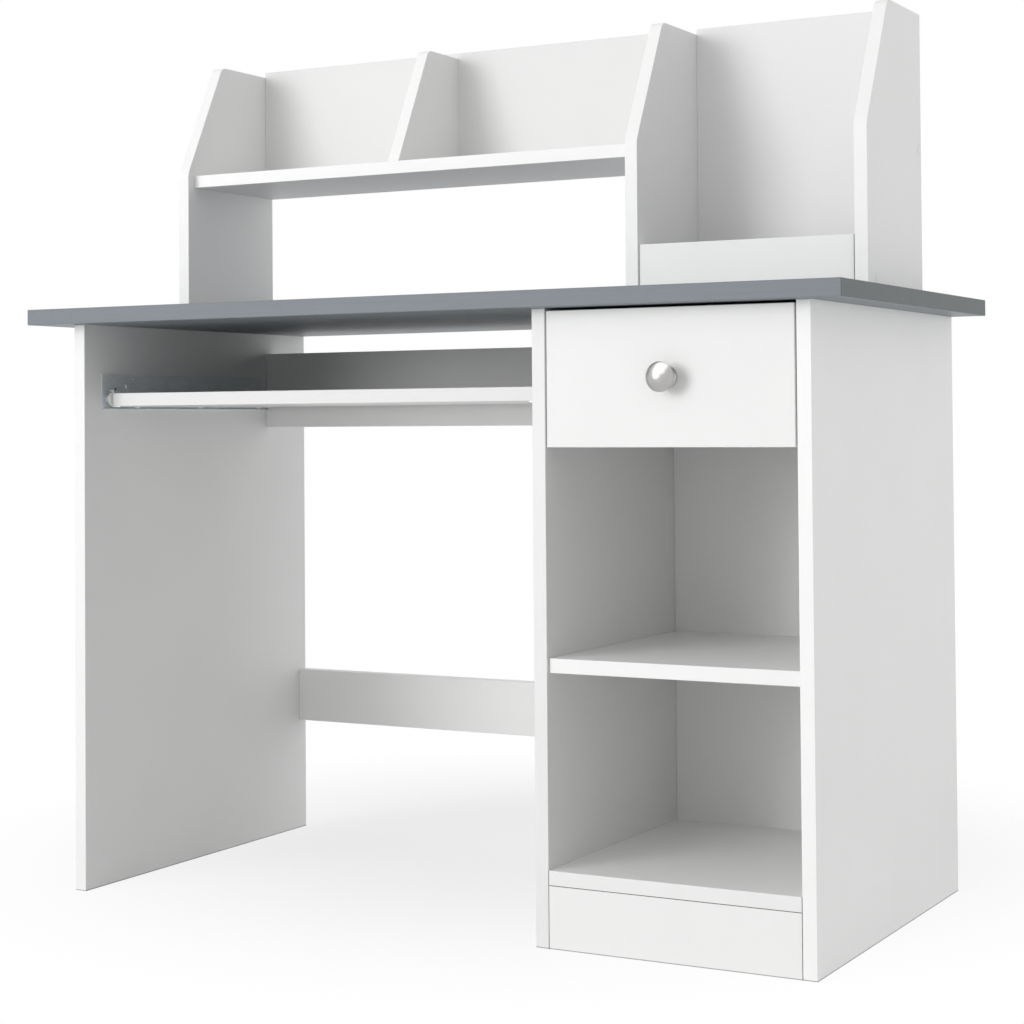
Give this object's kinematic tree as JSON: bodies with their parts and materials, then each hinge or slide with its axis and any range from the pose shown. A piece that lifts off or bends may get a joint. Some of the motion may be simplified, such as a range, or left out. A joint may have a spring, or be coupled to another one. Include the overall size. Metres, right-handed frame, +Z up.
{
  "type": "student desk with hutch",
  "caption": "White student desk with a slate top, sliding keyboard tray, drawer cabinet with open shelves, and a low hutch with sloping sides and a lipped bay.",
  "frame": {"origin": "centre of the desk's footprint box, on the floor", "axes": "+Z up, +X to the right and +Y to the rear as a seated person sees it"},
  "size_m": [1.053, 0.503, 1.0535],
  "materials": {
    "white_melamine": "matt white melamine on particle board",
    "slate_melamine": "slate grey-blue melamine with fine grain",
    "zinc_steel": "zinc-plated sheet steel",
    "white_nylon": "natural white nylon",
    "satin_nickel": "satin nickel plate"
  },
  "bodies": {
    "carcass": {"desktop": "slate_melamine", "left_leg_panel": "white_melamine", "cabinet_left_panel": "white_melamine", "cabinet_right_panel": "white_melamine", "rear_rail": "white_melamine", "low_stretcher": "white_melamine", "cabinet_back": "white_melamine", "middle_shelf": "white_melamine", "bottom_shelf": "white_melamine", "plinth": "white_melamine", "hutch_left_side": "white_melamine", "hutch_middle_panel": "white_melamine", "hutch_right_side": "white_melamine", "hutch_shelf": "white_melamine", "hutch_divider": "white_melamine", "hutch_left_back": "white_melamine", "hutch_right_back": "white_melamine", "hutch_lip": "white_melamine", "shelf_pin_front_left": "zinc_steel", "shelf_pin_front_right": "zinc_steel", "shelf_pin_rear_left": "zinc_steel", "shelf_pin_rear_right": "zinc_steel", "tray_fixed_runner_left": "zinc_steel", "tray_fixed_runner_right": "zinc_steel", "drawer_fixed_runner_left": "zinc_steel", "drawer_fixed_runner_right": "zinc_steel", "tray_front_axle_left": "zinc_steel", "tray_front_axle_right": "zinc_steel", "drawer_front_axle_left": "zinc_steel", "drawer_front_axle_right": "zinc_steel"},
    "tray": {"keyboard_tray": "white_melamine", "tray_moving_runner_left": "zinc_steel", "tray_moving_runner_right": "zinc_steel", "tray_rear_axle_left": "zinc_steel", "tray_rear_axle_right": "zinc_steel"},
    "drawer": {"drawer_front": "white_melamine", "drawer_left_side": "white_melamine", "drawer_right_side": "white_melamine", "drawer_back": "white_melamine", "drawer_bottom": "white_melamine", "drawer_knob": "satin_nickel", "drawer_moving_runner_left": "zinc_steel", "drawer_moving_runner_right": "zinc_steel", "drawer_rear_axle_left": "zinc_steel", "drawer_rear_axle_right": "zinc_steel"},
    "tray_front_roller_left": {"tray_front_roller_left": "white_nylon"},
    "tray_front_roller_right": {"tray_front_roller_right": "white_nylon"},
    "tray_rear_roller_left": {"tray_rear_roller_left": "white_nylon"},
    "tray_rear_roller_right": {"tray_rear_roller_right": "white_nylon"},
    "drawer_front_roller_left": {"drawer_front_roller_left": "white_nylon"},
    "drawer_front_roller_right": {"drawer_front_roller_right": "white_nylon"},
    "drawer_rear_roller_left": {"drawer_rear_roller_left": "white_nylon"},
    "drawer_rear_roller_right": {"drawer_rear_roller_right": "white_nylon"}
  },
  "joints": [
    {"name": "tray_slide", "type": "slide", "parent": "carcass", "child": "tray", "axis": [0, -1, 0], "range_m": [0, 0.26]},
    {"name": "drawer_slide", "type": "slide", "parent": "carcass", "child": "drawer", "axis": [0, -1, 0], "range_m": [0, 0.22]},
    {"name": "tray_front_roller_left_turn", "type": "hinge", "parent": "carcass", "child": "tray_front_roller_left", "pos_m": [-0.44945, -0.1815, 0.6], "axis": [1, 0, 0], "range_deg": [0, 1655.22]},
    {"name": "tray_front_roller_right_turn", "type": "hinge", "parent": "carcass", "child": "tray_front_roller_right", "pos_m": [0.15345, -0.1815, 0.6], "axis": [1, 0, 0], "range_deg": [0, 1655.22]},
    {"name": "tray_rear_roller_left_turn", "type": "hinge", "parent": "tray", "child": "tray_rear_roller_left", "pos_m": [-0.45455, 0.1445, 0.5975], "axis": [1, 0, 0], "range_deg": [0, 1655.22]},
    {"name": "tray_rear_roller_right_turn", "type": "hinge", "parent": "tray", "child": "tray_rear_roller_right", "pos_m": [0.15855, 0.1445, 0.5975], "axis": [1, 0, 0], "range_deg": [0, 1655.22]},
    {"name": "drawer_front_roller_left_turn", "type": "hinge", "parent": "carcass", "child": "drawer_front_roller_left", "pos_m": [0.18755, -0.1945, 0.562], "axis": [1, 0, 0], "range_deg": [0, 1400.57]},
    {"name": "drawer_front_roller_right_turn", "type": "hinge", "parent": "carcass", "child": "drawer_front_roller_right", "pos_m": [0.45945, -0.1945, 0.562], "axis": [1, 0, 0], "range_deg": [0, 1400.57]},
    {"name": "drawer_rear_roller_left_turn", "type": "hinge", "parent": "drawer", "child": "drawer_rear_roller_left", "pos_m": [0.18245, 0.0815, 0.5595], "axis": [1, 0, 0], "range_deg": [0, 1400.57]},
    {"name": "drawer_rear_roller_right_turn", "type": "hinge", "parent": "drawer", "child": "drawer_rear_roller_right", "pos_m": [0.46455, 0.0815, 0.5595], "axis": [1, 0, 0], "range_deg": [0, 1400.57]}
  ],
  "couplings": [
    {"joint": "tray_front_roller_left_turn", "follows": "tray_slide", "rad_per_m": 111.11},
    {"joint": "tray_front_roller_right_turn", "follows": "tray_slide", "rad_per_m": 111.11},
    {"joint": "tray_rear_roller_left_turn", "follows": "tray_slide", "rad_per_m": 111.11},
    {"joint": "tray_rear_roller_right_turn", "follows": "tray_slide", "rad_per_m": 111.11},
    {"joint": "drawer_front_roller_left_turn", "follows": "drawer_slide", "rad_per_m": 111.11},
    {"joint": "drawer_front_roller_right_turn", "follows": "drawer_slide", "rad_per_m": 111.11},
    {"joint": "drawer_rear_roller_left_turn", "follows": "drawer_slide", "rad_per_m": 111.11},
    {"joint": "drawer_rear_roller_right_turn", "follows": "drawer_slide", "rad_per_m": 111.11}
  ]
}
